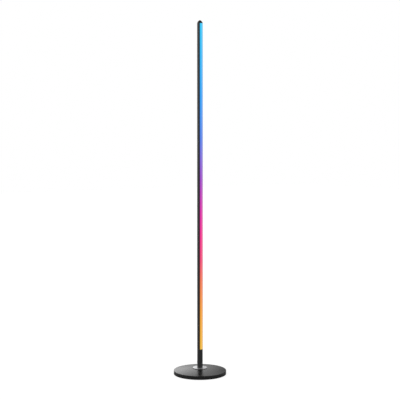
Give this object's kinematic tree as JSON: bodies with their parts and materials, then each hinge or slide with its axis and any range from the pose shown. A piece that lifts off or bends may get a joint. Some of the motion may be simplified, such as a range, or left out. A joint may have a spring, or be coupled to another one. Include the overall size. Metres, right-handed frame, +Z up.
{
  "type": "corner floor lamp",
  "caption": "Slim round pole lamp on a crowned round base, with a vertical light strip along its front for washing a room corner with colour.",
  "frame": {"origin": "on the floor under the pole's axis", "axes": "+Z up along the pole; the light strip faces -Y and the power inlet faces +Y"},
  "size_m": [0.209, 0.209, 1.4],
  "materials": {
    "black_enamel": "satin black baked enamel on pressed steel",
    "black_anodised": "satin black anodised extrusion",
    "bright_steel": "bright turned ring",
    "opal_diffuser": "opal strip, lit from behind, blue at the top through violet and red to amber below",
    "black_plastic": "satin black moulded cap",
    "cast_iron": "as cast, primed",
    "zinc_steel": "zinc plated",
    "pad_rubber": "matt foam rubber",
    "black_nylon": "moulded",
    "circuit_board": "green solder mask",
    "white_board": "white flexible circuit",
    "led_body": "white packages with clear fill",
    "plain_aluminium": "mill finish",
    "wire_insulation": "red insulation"
  },
  "bodies": {
    "root": {"base_cover": "black_enamel", "base_weight": "cast_iron", "foot_ring": "bright_steel", "pole_bolt": "zinc_steel", "foot_tube": "black_anodised", "foot_plug": "zinc_steel", "power_jack": "black_nylon", "power_jack_nut": "zinc_steel", "control_board": "circuit_board", "control_board_parts": "black_nylon", "jack_leads": "wire_insulation", "strip_leads": "wire_insulation", "foot_connector": "plain_aluminium", "light_diffuser": "opal_diffuser", "led_strip_board": "white_board", "led_chips": "led_body", "top_cap": "black_plastic", "profile_1": "black_anodised", "profile_2": "black_anodised", "profile_3": "black_anodised", "joiner_1": "plain_aluminium", "joiner_2": "plain_aluminium", "foot_pad_1": "pad_rubber", "foot_pad_2": "pad_rubber", "foot_pad_3": "pad_rubber", "foot_pad_4": "pad_rubber"}
  },
  "joints": []
}
